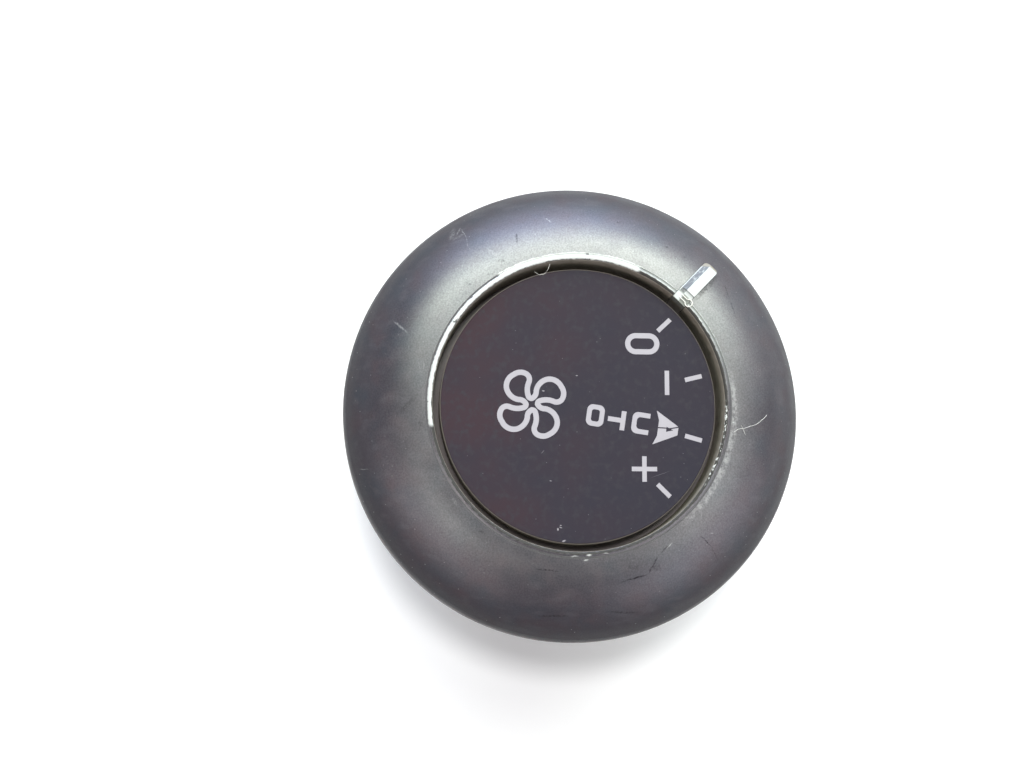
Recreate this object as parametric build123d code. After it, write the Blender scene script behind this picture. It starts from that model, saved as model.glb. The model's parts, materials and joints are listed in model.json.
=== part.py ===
from build123d import *
import os
from math import asin, atan2, cos, degrees, pi, radians, sin

# A panel fan switch for a cabin heater: a ring knob turns about a lit dial that stands still.
# Millimetres. +Z points out of the panel at the user, +Y is the top of the dial, +X its right.
# The origin is on the knob's axis, in the plane of the panel's front face.

# Knob ring
knob_radius = 30.0
knob_wall = 2.0
crest_height = 12.5
skirt_lift = 0.8
skirt_round = 0.4
edge_radius = 3.4
dome_first_slope = 8.0
dome_last_slope = 62.0
bead_radius = 0.36
bead_end_angle = 72.0
bead_groove_width = 0.2
bead_groove_depth = 0.12
dome_start_drop = 0.25
lip_wall = 1.3
web_thickness = 1.7
rib_count = 12
rib_thickness = 1.0
rib_lift = 1.1
rib_end_gap = 1.4

# Dial
dial_radius = 17.7
dial_gap = 0.95
dial_recess = 1.5
dial_thickness = 1.4
dial_bevel = 0.18
dial_skirt_wall = 0.9
diffuser_thickness = 1.6
print_depth = 0.3
tab_count = 3
tab_width = 3.0
tab_first_angle = 30.0

# Printed marks, on the dial's face
tick_step = 29.0
tick_count = 4
tick_outer_radius = 16.45
tick_length = 2.25
tick_width = 0.58
tick_print_step = 29.4
tick_print_turn = 0.75
zero_width = 2.77
zero_height = 4.46
zero_stroke = 0.68
zero_place = (-8.07, 8.30)
sign_stroke = 0.58
minus_length = 3.15
minus_place = (-3.03, 11.44)
plus_length = 3.25
plus_place = (8.08, 8.40)
letter_turn = -8.5
letter_stroke = 0.62
letter_width = 2.78
letter_height = 2.27
letter_corner = 0.75
letter_bar = 2.48
letter_hollow_corner = 0.3
big_letter_foot = 4.4
big_letter_top = 1.1
big_letter_height = 3.05
big_letter_leg = 1.2
big_letter_notch = 0.45
big_letter_hollow_half_width = 0.33
big_letter_hollow_height = 0.9
big_letter_slit = 0.15
letter_places = ((2.97, 11.27), (2.22, 7.97), (1.81, 4.89), (1.28, 2.16))
symbol_place = (-0.08, -5.98)
symbol_reach = 4.08
symbol_stroke = 0.69
symbol_lobes = 4

# Carrier and light ring
carrier_thickness = 1.4
carrier_edge_step = 0.3
post_radius = 8.0
post_wall = 1.2
window_count = 6
window_radius = 1.5
light_ring_thickness = 1.0
light_ring_inner_radius = 13.2
pointer_angle = 46.2
pointer_width = 2.1
pointer_face_width = 1.25
pointer_end_radius = 25.6
pointer_corner = 0.5
pointer_rise = 0.5
pointer_flank_rise = 0.1
pointer_step_radius = 20.4
pointer_foot_drop = 0.25

# Rotor, washer and wiper
rotor_tube_wall = 2.4
rotor_disc_thickness = 2.2
spline_count = 6
spline_width = 1.6
spline_height = 0.8
snap_ring_thickness = 0.5
snap_ring_reach = 1.3
snap_groove_depth = 0.5
snap_ring_opening = 30.0
tube_lip = 0.35
washer_thickness = 0.4
washer_lug_gap = 0.5
stop_lug_width = 1.5
stop_lug_angle = 8.0
stop_lug_height = 0.8
stop_margin_angle = 1.0
detent_depth = 0.6
wiper_height = 3.4
wiper_inset = 1.2
wiper_thickness = 0.3
wiper_tip_lift = 0.45
wiper_ring_width = 1.6
wiper_count = 3
wiper_finger_width = 0.8
wiper_finger_length = 5.5

# Detent spring
detent_direction = 225.0
spring_thickness = 0.3
spring_height = 1.8
spring_half_length = 6.0
spring_bump_height = 1.0
spring_bump_half_width = 1.1
spring_holder_width = 1.8
spring_holder_depth = 1.5
spring_holder_end = 0.1

# Housing
flange_thickness = 1.6
flange_gap = 0.8
front_wall = 2.2
collar_wall = 1.4
barrel_radius = 22.0
barrel_wall = 1.8
board_ledge_width = 0.9
board_ledge_height = 0.8
key_width = 2.0
key_height = 0.6
key_length = 7.0
boss_radius = 2.3
boss_inset = 2.75
boss_count = 4

# Rear case and its connector socket
body_depth = 30.0
case_screw_head_gap = 0.25
case_corner = 6.0
case_wall = 2.0
case_edge_round = 0.8
ledge_thickness = 2.0
spigot_height = 2.4
spigot_wall = 1.6
socket_length = 20.0
socket_width = 9.0
socket_depth = 10.0
socket_wall = 1.5
latch_width = 6.0
latch_depth = 0.9
latch_length = 6.0

# Circuit board and what it carries
board_thickness = 1.6
track_thickness = 0.08
track_width = 1.0
track_gap = 0.5
track_edge_gap = 1.05
track_span_angle = 150.0
pin_columns = 5
pin_rows = 2
pin_pitch = 2.54
pin_side = 0.64
pin_above_board = 0.9
pin_tip_depth = 4.6
header_height = 2.5
header_margin = 0.8
lamp_length = 1.6
lamp_width = 0.8
lamp_height = 0.6
lamp_x = 3.6
lamp_y = 4.0
chip_length = 6.0
chip_width = 4.4
chip_height = 1.4
resistor_count = 4
resistor_length = 2.0
resistor_width = 1.25
resistor_height = 0.5
resistor_pitch = 2.6
part_row_y = 9.5

# Screws and panel clips
case_screw_radius = 1.25
case_screw_head_radius = 2.0
case_screw_head_height = 1.5
case_screw_grip = 6.0
post_screw_radius = 0.9
post_screw_head_radius = 1.7
post_screw_head_height = 1.1
post_screw_grip = 4.5
post_boss_radius = 1.6
post_boss_height = 6.0
screw_recess_width = 0.5
screw_recess_share = 0.65
screw_head_round = 0.35
clip_width = 9.0
clip_thickness = 0.5
clip_pocket_depth = 1.0
clip_top_drop = 2.2
clip_height = 7.4
clip_reach = 1.7
clip_shoulder_drop = 2.2
clip_bend_gap = 0.5

# Clearances
running_gap = 0.3
bearing_gap = 0.08
fit_gap = 0.05
turning_gap = 0.4
loose_gap = 0.2

# Heights worked out from the sizes above, front to back
dial_face = crest_height - dial_recess
dial_back = dial_face - dial_thickness
diffuser_back = dial_back - diffuser_thickness
carrier_back = diffuser_back - carrier_thickness
light_ring_top = carrier_back - running_gap
web_top = light_ring_top - light_ring_thickness
web_bottom = web_top - web_thickness
wall_back = flange_thickness - front_wall
rotor_top = wall_back - washer_thickness - fit_gap
rotor_bottom = rotor_top - rotor_disc_thickness
board_top = rotor_bottom - wiper_height
board_bottom = board_top - board_thickness
barrel_end = board_bottom - spigot_height
case_back = -body_depth
socket_floor = case_back + socket_depth

# Radii worked out from the sizes above
lip_inner = dial_radius + dial_gap
lip_outer = lip_inner + lip_wall
dome_start = lip_inner + 2 * bead_radius + bead_groove_width
skirt_inner = knob_radius - knob_wall
flange_radius = skirt_inner - flange_gap
post_inner = post_radius - post_wall
tube_inner = post_radius + running_gap
tube_outer = tube_inner + rotor_tube_wall
barrel_inner = barrel_radius - barrel_wall
boss_circle = barrel_radius - boss_inset
rotor_radius = boss_circle - boss_radius - turning_gap
lug_outer = rotor_radius - turning_gap
lug_inner = lug_outer - stop_lug_width
washer_inner = tube_outer + loose_gap
washer_outer = lug_inner - washer_lug_gap
wiper_inner = tube_outer + wiper_inset
case_width = 2 * (boss_circle - case_screw_head_radius - case_screw_head_gap)
board_radius = barrel_inner - loose_gap
travel_angle = tick_step * (tick_count - 1)

# Arcs of the dome: the large one ends where its slope meets the edge arc's
first_slope = radians(dome_first_slope)
last_slope = radians(dome_last_slope)
dome_radius = (knob_radius - dome_start - edge_radius * (1 - sin(last_slope))) / (
    sin(last_slope) - sin(first_slope)
)
dome_centre = (
    dome_start - dome_radius * sin(first_slope),
    crest_height - dome_start_drop - dome_radius * cos(first_slope),
)
edge_centre = (
    knob_radius - edge_radius,
    dome_centre[1] + (dome_radius - edge_radius) * cos(last_slope),
)


def dome_point(depth, slope):
    """A point this deep under the dome's face, where the face has this slope in radians."""
    reach = dome_radius - depth
    return (dome_centre[0] + reach * sin(slope), dome_centre[1] + reach * cos(slope))


def edge_point(depth, slope):
    """The same on the small arc that turns the dome into the skirt."""
    reach = edge_radius - depth
    return (edge_centre[0] + reach * sin(slope), edge_centre[1] + reach * cos(slope))


def dome_slope_at(depth, radius):
    """The slope at which the face at this depth passes this radius."""
    return asin((radius - dome_centre[0]) / (dome_radius - depth))


def dome_arc(depth, start_slope, end_slope):
    middle = (start_slope + end_slope) / 2
    return ThreePointArc(
        dome_point(depth, start_slope), dome_point(depth, middle), dome_point(depth, end_slope)
    )


def edge_arc(depth, start_slope, end_slope):
    middle = (start_slope + end_slope) / 2
    return ThreePointArc(
        edge_point(depth, start_slope), edge_point(depth, middle), edge_point(depth, end_slope)
    )


def spin(lines):
    """The solid of revolution of a closed outline given as (radius, height)."""
    return revolve(Plane.XZ * make_face(lines), Axis.Z)


def slab(sketch, low, high):
    return Pos(0, 0, low) * extrude(sketch, high - low)


def ring(outer, inner, low, high):
    return slab(Circle(outer) - Circle(inner), low, high)


def disc(radius, low, high):
    return slab(Circle(radius), low, high)


def turned(angle, radius, shape):
    """The shape moved out to a radius and turned about the knob's axis, degrees from +X."""
    return Rot(0, 0, angle) * Pos(radius, 0, 0) * shape


def sector(outer, inner, start, end, low, high):
    """A ring's stretch between two angles from +X, counted anticlockwise."""
    start_angle = radians(start)
    end_angle = radians(end)
    middle = (start_angle + end_angle) / 2

    def at(radius, angle):
        return (radius * cos(angle), radius * sin(angle))

    outline = (
        Line(at(inner, start_angle), at(outer, start_angle))
        + ThreePointArc(at(outer, start_angle), at(outer, middle), at(outer, end_angle))
        + Line(at(outer, end_angle), at(inner, end_angle))
        + ThreePointArc(at(inner, end_angle), at(inner, middle), at(inner, start_angle))
    )
    return slab(make_face(outline), low, high)


def strip_outline(points, thickness):
    """The outline of a bent strip from its centreline, with mitred bends."""
    sides = ([], [])
    for place, point in enumerate(points):
        before = points[max(place - 1, 0)]
        after = points[min(place + 1, len(points) - 1)]
        into = atan2(point[1] - before[1], point[0] - before[0]) if place else None
        out = atan2(after[1] - point[1], after[0] - point[0]) if after is not point else None
        into = out if into is None else into
        out = into if out is None else out
        turn = (out - into + pi) % (2 * pi) - pi
        across = into + turn / 2 + pi / 2
        reach = thickness / 2 / cos(turn / 2)
        sides[0].append((point[0] + reach * cos(across), point[1] + reach * sin(across)))
        sides[1].append((point[0] - reach * cos(across), point[1] - reach * sin(across)))
    outline = sides[0] + sides[1][::-1]
    return make_face(Polyline(*outline, outline[0]))


def knob_outline():
    underside_start = dome_slope_at(knob_wall, lip_outer)
    bead_centre = (lip_inner + bead_radius, crest_height - bead_radius)
    bead_end = radians(bead_end_angle)
    bead_last = (
        bead_centre[0] + bead_radius * sin(bead_end),
        bead_centre[1] + bead_radius * cos(bead_end),
    )
    groove_floor = (
        lip_inner + 2 * bead_radius + bead_groove_width / 2,
        dome_point(0, first_slope)[1] - bead_groove_depth,
    )
    round_middle = skirt_round * (1 - cos(radians(45)))
    bore = tube_outer + fit_gap
    return (
        Polyline(
            (bore, web_bottom), (lip_outer, web_bottom), dome_point(knob_wall, underside_start)
        )
        + dome_arc(knob_wall, underside_start, last_slope)
        + edge_arc(knob_wall, last_slope, radians(90))
        + Polyline(
            edge_point(knob_wall, radians(90)),
            (skirt_inner, skirt_lift),
            (knob_radius - skirt_round, skirt_lift),
        )
        + ThreePointArc(
            (knob_radius - skirt_round, skirt_lift),
            (knob_radius - round_middle, skirt_lift + round_middle),
            (knob_radius, skirt_lift + skirt_round),
        )
        + Line((knob_radius, skirt_lift + skirt_round), edge_point(0, radians(90)))
        + edge_arc(0, radians(90), last_slope)
        + dome_arc(0, last_slope, first_slope)
        + Polyline(dome_point(0, first_slope), groove_floor, bead_last)
        + ThreePointArc(
            bead_last, (bead_centre[0], crest_height), (lip_inner, bead_centre[1])
        )
        + Polyline(
            (lip_inner, bead_centre[1]), (lip_inner, web_top), (bore, web_top), (bore, web_bottom)
        )
    )


def knob_ribs():
    """Stiffening ribs under the dome, from the lip's wall to just inside the skirt."""
    middle_depth = knob_wall / 2
    rib_bottom = flange_thickness + rib_lift
    rib_start = lip_outer - fit_gap
    rib_end = skirt_inner - rib_end_gap
    first = dome_slope_at(middle_depth, rib_start)
    last = dome_slope_at(middle_depth, rib_end)
    under_dome = spin(
        Polyline(
            dome_point(middle_depth, first),
            (rib_start, rib_bottom),
            (rib_end, rib_bottom),
            dome_point(middle_depth, last),
        )
        + dome_arc(middle_depth, last, first)
    )
    bars = Part()
    for place in range(rib_count):
        bar = Pos(0, 0, crest_height / 2) * Box(2 * knob_wall + knob_radius, rib_thickness, crest_height)
        bars += turned(360 / rib_count * place, (2 * knob_wall + knob_radius) / 2, bar)
    return bars & under_dome


def spline_bars(extra):
    """The drive splines between the rotor's tube and the knob, grown by a clearance."""
    bars = Part()
    height = web_thickness
    middle = (web_top + web_bottom) / 2
    for place in range(spline_count):
        bar = Box(2 * (spline_height + extra), spline_width + 2 * extra, height)
        bars += turned(360 / spline_count * place, tube_outer, Pos(0, 0, middle) * bar)
    return bars


def pointer_plan(extra):
    """The pointer seen from above, on +X, grown by a clearance: square inside, rounded outside."""
    start = dial_radius + running_gap
    end = pointer_end_radius + extra
    half = pointer_width / 2 + extra
    corner = min(pointer_corner, half - fit_gap)
    plan = Pos((start + end) / 2, 0) * Rectangle(end - start, 2 * half)
    return fillet(plan.vertices().group_by(Axis.X)[-1], corner)


def pointer_direction():
    return 90 + pointer_angle


def make_knob_ring():
    body = spin(knob_outline()) + knob_ribs()
    slot_plan = pointer_plan(fit_gap)
    slot = Rot(0, 0, pointer_direction()) * slab(slot_plan, web_top, crest_height + knob_wall)
    return body - slot - spline_bars(fit_gap)


def pointer_bar():
    """The raised bar on +X: a flat face that follows the dome, and one sloping flank beside it."""
    half = pointer_width / 2
    face_edge = pointer_face_width - half
    section = Plane.YZ * Polygon(
        (-half, dome_radius - knob_wall),
        (half, dome_radius - knob_wall),
        (half, dome_radius + pointer_flank_rise),
        (face_edge, dome_radius + pointer_rise),
        (-half, dome_radius + pointer_rise),
        align=None,
    )
    start = dome_slope_at(-pointer_rise, pointer_step_radius)
    curl = Axis((dome_centre[0], 0, dome_centre[1]), (0, 1, 0))
    section = (Pos(dome_centre[0], 0, dome_centre[1]) * section).rotate(curl, degrees(start))
    return revolve(section, curl, degrees(last_slope - start))


def make_pointer_light_guide():
    """A clear ring under the dial's edge, with the pointer standing up through the knob's lip."""
    first = dome_slope_at(knob_wall, lip_outer)
    foot = ring(
        pointer_step_radius, dial_radius, web_top, crest_height - pointer_foot_drop
    ) - ring(pointer_step_radius + knob_wall, lip_outer, web_top - fit_gap, dome_point(knob_wall, first)[1])
    foot -= ring(lip_inner, dial_radius, light_ring_top, crest_height)
    plan = slab(pointer_plan(0), web_top, crest_height + knob_wall)
    pointer = (pointer_bar() + foot) & plan
    collar = ring(lip_inner - fit_gap, light_ring_inner_radius, web_top, light_ring_top)
    return Rot(0, 0, pointer_direction()) * (pointer + collar)


def fan_lobe_points():
    """One lobe of the fan symbol, from the middle outwards and back: starts, middles and ends of arcs."""
    shares = (
        (-0.18, 0.0),
        (-0.24, 0.08),
        (-0.42, 0.14),
        (-0.66, 0.26),
        (-0.79, 0.49),
        (-0.75, 0.75),
        (-0.56, 0.93),
        (-0.32, 1.0),
        (-0.15, 0.94),
        (-0.08, 0.83),
        (-0.10, 0.67),
        (-0.14, 0.43),
        (-0.11, 0.26),
        (-0.07, 0.20),
        (0.0, 0.18),
    )
    return [(symbol_reach * x, symbol_reach * y) for x, y in shares]


def fan_symbol():
    """Four lobes drawn with one stroke, whose joints are round."""
    points = fan_lobe_points()
    lobe = Sketch()
    for first in range(0, len(points) - 1, 2):
        lobe += trace(ThreePointArc(*points[first : first + 3]), symbol_stroke)
        lobe += Pos(*points[first]) * Circle(symbol_stroke / 2)
    symbol = Sketch()
    for place in range(symbol_lobes):
        symbol += Rot(0, 0, -360 / symbol_lobes * place) * lobe
    return symbol


def letter_a():
    """The big letter, split from its foot through its hollow to its top's left corner."""
    half_foot = big_letter_foot / 2
    half_top = big_letter_top / 2
    half_height = big_letter_height / 2
    notch_height = big_letter_notch - half_height
    body = Polygon(
        (-half_foot, -half_height),
        (-half_foot + big_letter_leg, notch_height),
        (half_foot - big_letter_leg, notch_height),
        (half_foot, -half_height),
        (half_top, half_height),
        (-half_top, half_height),
        align=None,
    )
    half_hollow = big_letter_hollow_half_width
    counter = Polygon((-half_hollow, 0), (half_hollow, 0), (0, big_letter_hollow_height), align=None)
    low_slit = trace(Line((0, -half_height), (-half_hollow / 2, big_letter_slit)), big_letter_slit)
    high_slit = trace(Line((0, 0), (-half_top, half_height + big_letter_slit)), big_letter_slit)
    return body - counter - low_slit - high_slit


def letter_u():
    hollow_width = letter_width - 2 * letter_stroke
    outer = Pos(0, letter_height / 2) * RectangleRounded(letter_width, 2 * letter_height, letter_corner)
    inner = Pos(0, letter_height / 2 + letter_stroke) * RectangleRounded(
        hollow_width, 2 * letter_height, min(letter_corner - letter_stroke / 2, hollow_width / 2 - fit_gap)
    )
    return (outer - inner) & Rectangle(letter_width, letter_height)


def letter_t():
    bar = Pos(0, (letter_height - letter_stroke) / 2) * Rectangle(letter_bar, letter_stroke)
    return bar + Rectangle(letter_stroke, letter_height)


def letter_o():
    hollow = RectangleRounded(
        letter_width - 2 * letter_stroke, letter_height - 2 * letter_stroke, letter_hollow_corner
    )
    return RectangleRounded(letter_width, letter_height, letter_corner) - hollow


def marks_plan():
    """All that is printed on the dial, seen from the front."""
    plan = Pos(*symbol_place) * fan_symbol()
    for place in range(tick_count):
        angle = tick_print_step * (place - (tick_count - 1) / 2) + tick_print_turn
        tick = Pos(0, tick_outer_radius - tick_length / 2) * Rectangle(tick_width, tick_length)
        plan += Rot(0, 0, -angle) * tick
    zero_hollow = SlotOverall(zero_height - 2 * zero_stroke, zero_width - 2 * zero_stroke)
    plan += Pos(*zero_place) * Rot(0, 0, 90) * (SlotOverall(zero_height, zero_width) - zero_hollow)
    plan += Pos(*minus_place) * Rectangle(minus_length, sign_stroke)
    plan += Pos(*plus_place) * (Rectangle(plus_length, sign_stroke) + Rectangle(sign_stroke, plus_length))
    for place, letter in zip(letter_places, (letter_a(), letter_u(), letter_t(), letter_o())):
        plan += Pos(*place) * Rot(0, 0, letter_turn) * letter
    return plan


def make_dial_markings():
    return slab(marks_plan(), dial_face - print_depth, dial_face)


def dial_tabs(extra):
    """Tabs that drop from the dial's skirt into notches in the carrier's edge."""
    tabs = Part()
    inner = dial_radius - dial_skirt_wall - extra
    half_angle = degrees((tab_width / 2 + extra) / dial_radius)
    for place in range(tab_count):
        middle = tab_first_angle + 360 / tab_count * place
        low = carrier_back + fit_gap - extra * 3
        outer = dial_radius - dial_bevel + extra * 10
        tabs += sector(outer, inner, middle - half_angle, middle + half_angle, low, diffuser_back)
    return tabs


def make_dial_plate():
    body = disc(dial_radius, diffuser_back, dial_face)
    body = chamfer(body.edges().group_by(Axis.Z)[-1], dial_bevel)
    body -= disc(dial_radius - dial_skirt_wall, diffuser_back, dial_back)
    return body + dial_tabs(0) - make_dial_markings()


def make_dial_diffuser():
    return disc(dial_radius - dial_skirt_wall - fit_gap, diffuser_back, dial_back)


def post_screw_places():
    reach = post_inner - post_boss_radius + fit_gap
    return [(0, reach), (0, -reach)]


def make_dial_carrier():
    """The fixed post that holds the dial up through the middle of the turning parts."""
    plate = disc(dial_radius - carrier_edge_step, carrier_back, diffuser_back)
    post = disc(post_radius, board_top, carrier_back)
    body = plate + post - disc(post_inner, board_top, diffuser_back)
    window_circle = (light_ring_inner_radius + dial_radius) / 2 - window_radius
    for place in range(window_count):
        window = Pos(0, 0, (carrier_back + diffuser_back) / 2) * Cylinder(
            window_radius, 2 * carrier_thickness
        )
        body -= turned(360 / window_count * place, window_circle, window)
    for x, y in post_screw_places():
        boss = Pos(x, y) * disc(post_boss_radius, board_top, board_top + post_boss_height)
        body += boss & disc(post_radius - fit_gap, board_top, carrier_back)
    for x, y in post_screw_places():
        body -= Pos(x, y) * disc(post_screw_radius, board_top, board_top + post_screw_grip + loose_gap)
    return body - dial_tabs(fit_gap)


def make_rotor():
    tube_top = web_top + snap_ring_thickness + tube_lip
    tube = disc(tube_outer, rotor_bottom, tube_top) + spline_bars(0)
    body = tube + disc(rotor_radius, rotor_bottom, rotor_top)
    body += sector(
        lug_outer,
        lug_inner,
        90 - stop_lug_angle / 2,
        90 + stop_lug_angle / 2,
        rotor_top,
        rotor_top + stop_lug_height,
    )
    body -= disc(tube_inner, rotor_bottom, tube_top)
    body -= ring(
        tube_outer + spline_height + loose_gap,
        tube_outer - snap_groove_depth,
        web_top,
        web_top + snap_ring_thickness,
    )
    side = detent_depth * 2**0.5
    middle = (rotor_top + rotor_bottom) / 2
    for place in range(tick_count):
        notch = Pos(0, 0, middle) * Rot(0, 0, 45) * Box(side, side, rotor_disc_thickness)
        body -= turned(detent_direction + tick_step * place, rotor_radius, notch)
    return body


def make_knob_snap_ring():
    """The open spring ring above the knob's web that keeps the knob on the rotor."""
    inner = tube_outer - snap_groove_depth
    return sector(
        tube_outer + snap_ring_reach,
        inner,
        snap_ring_opening / 2,
        360 - snap_ring_opening / 2,
        web_top,
        web_top + snap_ring_thickness,
    )


def make_friction_washer():
    return ring(washer_outer, washer_inner, wall_back - washer_thickness, wall_back)


def make_wiper_contacts():
    """A sprung bronze ring under the rotor with a finger reaching down to each track."""
    middle_radius = wiper_inner + wiper_ring_width / 2
    body = ring(
        wiper_inner + wiper_ring_width, wiper_inner, rotor_bottom - wiper_thickness, rotor_bottom
    )
    top = rotor_bottom - wiper_thickness / 2
    tip = board_top + track_thickness + wiper_thickness / 2 + fit_gap
    for place in range(wiper_count):
        path = (
            (-wiper_ring_width / 2, top),
            (wiper_ring_width / 2, top),
            (wiper_finger_length - wiper_ring_width / 2, tip + wiper_thickness / 4),
            (wiper_finger_length + wiper_ring_width / 4, tip + wiper_tip_lift),
        )
        finger = extrude(
            Plane.XZ * strip_outline(path, wiper_thickness), wiper_finger_width / 2, both=True
        )
        body += Rot(0, 0, 360 / wiper_count * place) * Pos(0, track_radius(place), 0) * finger
        link_length = abs(track_radius(place) - middle_radius) + wiper_finger_width
        link = Pos(0, (track_radius(place) + middle_radius) / 2, top) * Box(
            wiper_ring_width, link_length, wiper_thickness
        )
        body += Rot(0, 0, 360 / wiper_count * place) * link
    return body


def track_radius(place):
    """Middle radius of a contact track, counted from the inner one to the one beside the bosses."""
    outermost = boss_circle - boss_radius - track_edge_gap - track_width / 2
    return outermost - (wiper_count - 1 - place) * (track_width + track_gap)


def make_contact_tracks():
    tracks = Part()
    for place in range(wiper_count):
        radius = track_radius(place)
        start = 90 + 360 / wiper_count * place - track_span_angle
        tracks += sector(
            radius + track_width / 2,
            radius - track_width / 2,
            start,
            start + track_span_angle,
            board_top,
            board_top + track_thickness,
        )
    return tracks


def spring_chord():
    """How far the detent spring's straight stretches stand from the axis."""
    return rotor_radius + fit_gap + spring_bump_height + spring_thickness / 2


def spring_path():
    chord = spring_chord()
    return (
        (-spring_half_length, chord),
        (-spring_bump_half_width, chord),
        (0, chord - spring_bump_height),
        (spring_bump_half_width, chord),
        (spring_half_length, chord),
    )


def spring_low():
    return (rotor_top + rotor_bottom - spring_height) / 2


def make_detent_spring():
    strip = slab(strip_outline(spring_path(), spring_thickness), spring_low(), spring_low() + spring_height)
    return Rot(0, 0, detent_direction - 90) * strip


def spring_holders():
    """Two slotted blocks behind the housing's front wall that hold the spring's ends."""
    blocks = Part()
    for sign in (-1, 1):
        place = sign * (spring_half_length - spring_holder_width / 2 + spring_holder_end)
        block = Rectangle(spring_holder_width, spring_holder_depth) - Pos(
            -sign * spring_holder_end, 0
        ) * Rectangle(spring_holder_width, spring_thickness + 2 * fit_gap)
        blocks += Pos(place, spring_chord()) * slab(block, spring_low(), wall_back + fit_gap)
    return Rot(0, 0, detent_direction - 90) * blocks


def boss_places():
    return [360 / boss_count * place for place in range(boss_count)]


def boss_columns(radius, low, high):
    columns = Part()
    for angle in boss_places():
        columns += turned(angle, boss_circle, disc(radius, low, high))
    return columns


def clip_angles():
    return {"panel_clip_left": 225 - 90, "panel_clip_right": 225 + 90}


def make_housing():
    flange = disc(flange_radius, 0, flange_thickness)
    flange = fillet(flange.edges().group_by(Axis.Z)[-1], flange_thickness / 4)
    barrel = disc(barrel_radius, barrel_end, 0) - disc(barrel_inner, barrel_end, wall_back)
    collar_top = web_bottom - turning_gap
    collar = disc(tube_outer + bearing_gap + collar_wall, flange_thickness, collar_top)
    body = flange + barrel + collar
    body += boss_columns(boss_radius, barrel_end, wall_back) & disc(
        barrel_inner + fit_gap, barrel_end, wall_back
    )
    body += ring(
        barrel_inner + fit_gap,
        barrel_inner - board_ledge_width,
        board_top,
        board_top + board_ledge_height,
    )
    body += spring_holders()
    key = Pos(0, -barrel_radius, 0) * slab(Rectangle(key_width, 2 * key_height), -key_length, 0)
    body += key - disc(barrel_inner + fit_gap, -key_length, 0)
    body -= disc(tube_outer + bearing_gap, wall_back, collar_top)
    lug_half = stop_lug_angle / 2 + stop_margin_angle
    body -= sector(
        lug_outer + fit_gap * 2,
        lug_inner - fit_gap * 2,
        90 - lug_half - travel_angle,
        90 + lug_half,
        wall_back,
        rotor_top + stop_lug_height + running_gap,
    )
    body -= boss_columns(
        case_screw_radius, barrel_end, barrel_end + case_screw_grip + loose_gap
    )
    for angle in clip_angles().values():
        pocket = Pos(clip_floor() + clip_pocket_depth, 0) * slab(
            Rectangle(2 * clip_pocket_depth, clip_width + 2 * loose_gap), barrel_end, -clip_top_drop
        )
        body -= Rot(0, 0, angle) * pocket
    return body


def clip_floor():
    return barrel_radius - clip_pocket_depth


def make_panel_clip(angle):
    """A sprung steel strip folded back on itself, whose shoulder grips the panel from behind."""
    back = clip_floor() + clip_thickness / 2
    top = -clip_top_drop - loose_gap - clip_thickness / 2
    low = top - clip_height
    path = (
        (back, top),
        (back, low),
        (back + clip_thickness + clip_bend_gap, low),
        (barrel_radius + clip_reach - clip_thickness / 2, top - clip_shoulder_drop),
        (barrel_radius + clip_thickness / 2, top),
    )
    strip = extrude(Plane.XZ * strip_outline(path, clip_thickness), clip_width / 2, both=True)
    return Rot(0, 0, angle) * strip


def case_plan(inset):
    side = case_width - 2 * inset
    return RectangleRounded(side, side, max(case_corner - inset, case_wall / 2))


def socket_plan(margin):
    return Rectangle(socket_length + 2 * margin, socket_width + 2 * margin)


def pin_places():
    places = []
    for row in range(pin_rows):
        for column in range(pin_columns):
            x = (column - (pin_columns - 1) / 2) * pin_pitch
            y = (row - (pin_rows - 1) / 2) * pin_pitch
            places.append((x, y))
    return places


def pin_bars(extra, low, high):
    bars = Part()
    side = pin_side + 2 * extra
    for x, y in pin_places():
        bars += Pos(x, y) * slab(Rectangle(side, side), low, high)
    return bars


def make_rear_case():
    """The box behind the barrel, with the connector's socket moulded into its back."""
    box = slab(case_plan(0), case_back, barrel_end)
    box = fillet(box.edges().group_by(Axis.Z)[0], min(case_edge_round, case_wall / 2))
    body = box + disc(barrel_radius, barrel_end - ledge_thickness, barrel_end)
    body -= slab(case_plan(case_wall), case_back + case_wall, barrel_end)
    spigot_outer = barrel_inner - loose_gap
    spigot = ring(spigot_outer, spigot_outer - spigot_wall, barrel_end, board_bottom)
    body += spigot - boss_columns(boss_radius + loose_gap, barrel_end, board_bottom)
    body += slab(socket_plan(socket_wall), case_back, socket_floor + socket_wall)
    body -= slab(socket_plan(0), case_back, socket_floor)
    body -= pin_bars(fit_gap, socket_floor, socket_floor + socket_wall)
    latch = Pos(0, socket_width / 2) * slab(
        Rectangle(latch_width, 2 * latch_depth), case_back, case_back + latch_length
    )
    body -= latch
    body -= boss_columns(
        case_screw_radius + loose_gap, barrel_end - ledge_thickness, barrel_end
    )
    return body


def make_circuit_board():
    body = disc(board_radius, board_bottom, board_top)
    body -= boss_columns(boss_radius + loose_gap, board_bottom, board_top)
    body -= pin_bars(fit_gap, board_bottom, board_top)
    for x, y in post_screw_places():
        body -= Pos(x, y) * disc(post_screw_radius + loose_gap, board_bottom, board_top)
    return body


def make_terminal_pins():
    return pin_bars(0, case_back + pin_tip_depth, board_top + pin_above_board)


def make_pin_header():
    """The plastic bar under the board that the pins are pressed through."""
    length = (pin_columns - 1) * pin_pitch + pin_side + 2 * header_margin
    width = (pin_rows - 1) * pin_pitch + pin_side + 2 * header_margin
    low = board_bottom - header_height
    body = slab(Rectangle(length, width), low, board_bottom)
    return body - pin_bars(0, low, board_bottom)


def make_dial_lamps():
    lamps = Part()
    for x in (-lamp_x, lamp_x):
        for y in (-lamp_y, lamp_y):
            lamps += Pos(x, y) * slab(
                Rectangle(lamp_length, lamp_width), board_top, board_top + lamp_height
            )
    return lamps


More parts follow.
